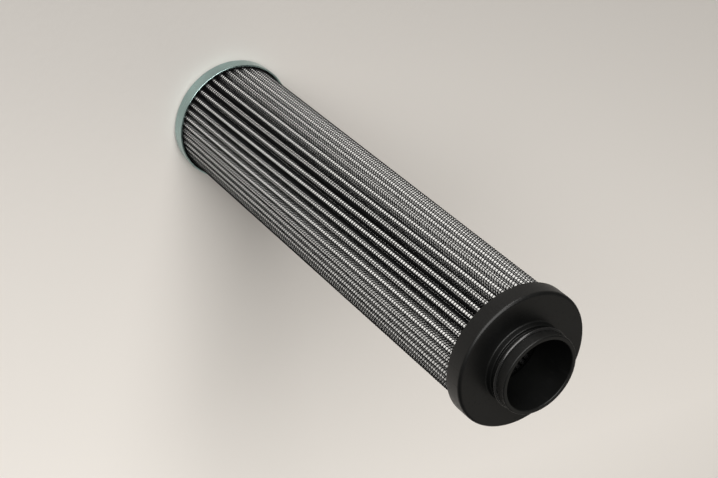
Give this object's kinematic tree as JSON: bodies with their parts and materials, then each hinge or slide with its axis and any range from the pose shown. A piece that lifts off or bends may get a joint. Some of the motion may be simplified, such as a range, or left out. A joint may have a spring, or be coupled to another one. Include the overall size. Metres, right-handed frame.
{
  "type": "pleated filter element",
  "caption": "Cylindrical pleated filter element with mesh-backed media, a moulded outlet cap with a sealed spigot, and a pressed steel closed end cap.",
  "frame": {"origin": "centre of the flat face of the closed end, on which the element stands", "axes": "+Z along the element's axis, from the closed end to the outlet spigot"},
  "size_m": [0.052, 0.052, 0.2083],
  "materials": {
    "outlet_cap": "black moulded, satin",
    "outlet_seal_ring": "smooth black rubber",
    "closed_end_cap": "zinc plated with a blue-green passivate, glossy",
    "support_core": "black moulded",
    "upstream_mesh": "black epoxy-coated square wire cloth",
    "filter_medium": "white glass-fibre medium",
    "downstream_mesh": "black epoxy-coated square wire cloth",
    "seam_clip": "zinc plated",
    "outlet_adhesive": "black cured adhesive",
    "closed_end_adhesive": "black cured adhesive"
  },
  "bodies": {
    "root": {"outlet_cap": "outlet_cap", "outlet_seal_ring": "outlet_seal_ring", "closed_end_cap": "closed_end_cap", "support_core": "support_core", "upstream_mesh": "upstream_mesh", "filter_medium": "filter_medium", "downstream_mesh": "downstream_mesh", "seam_clip": "seam_clip", "outlet_adhesive": "outlet_adhesive", "closed_end_adhesive": "closed_end_adhesive"}
  },
  "joints": []
}
